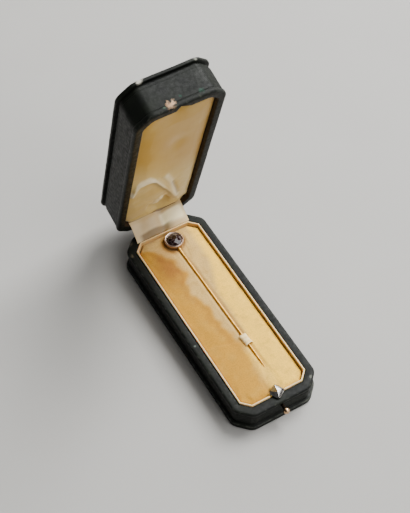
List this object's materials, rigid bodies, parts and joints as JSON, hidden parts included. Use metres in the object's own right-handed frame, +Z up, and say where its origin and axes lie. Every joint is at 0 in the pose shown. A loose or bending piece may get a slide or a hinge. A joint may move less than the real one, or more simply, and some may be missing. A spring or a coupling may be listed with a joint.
{
  "type": "tie pin in hinged case",
  "caption": "Tie pin with a round faceted stone in a bezel, lying on the velvet pad of its narrow hinged leather case with a push-button catch.",
  "frame": {"origin": "on the underside of the lower case, below the middle of its ivory rim", "axes": "+Z up, +Y along the case to its hinge end, +X to the right seen from the catch"},
  "size_m": [0.0376, 0.1175, 0.1078],
  "materials": {
    "green_leather": "dark green-black grained leather over a thin wood core, worn at the edges",
    "ivory_rim": "ivory celluloid-like rim, satin gloss",
    "gold_velvet": "short-pile gold-cream velvet",
    "ivory_tape": "off-white woven tape",
    "gold_satin": "tan-gold silk satin",
    "ivory_satin": "ivory satin ribbon",
    "gold": "polished yellow gold",
    "dark_stone": "polished, faceted, dark brown-red",
    "steel": "bright steel, slightly worn",
    "brass": "lacquered brass"
  },
  "bodies": {
    "case": {"case_shell": "green_leather", "case_liner": "ivory_rim", "velvet_pad": "gold_velvet", "pin_tab": "ivory_tape", "tie_pin": "gold", "stone": "dark_stone", "hinge_leaf_case": "brass", "hinge_pin": "brass", "hinge_ribbon": "ivory_satin"},
    "lid": {"lid_shell": "green_leather", "lid_lining": "gold_satin", "hinge_leaf_lid": "brass"},
    "catch": {"catch_post": "steel", "push_button": "brass"}
  },
  "joints": [
    {"name": "lid_hinge", "type": "hinge", "parent": "case", "child": "lid", "pos_m": [0, 0.0499, 0.00895], "axis": [1, 0, 0], "range_deg": [0, 74.4], "deforming": ["hinge_ribbon"]},
    {"name": "button_press", "type": "slide", "parent": "case", "child": "catch", "axis": [0, 1, 0], "range_m": [0, 0.0008], "stiffness_N_per_m": 200}
  ]
}
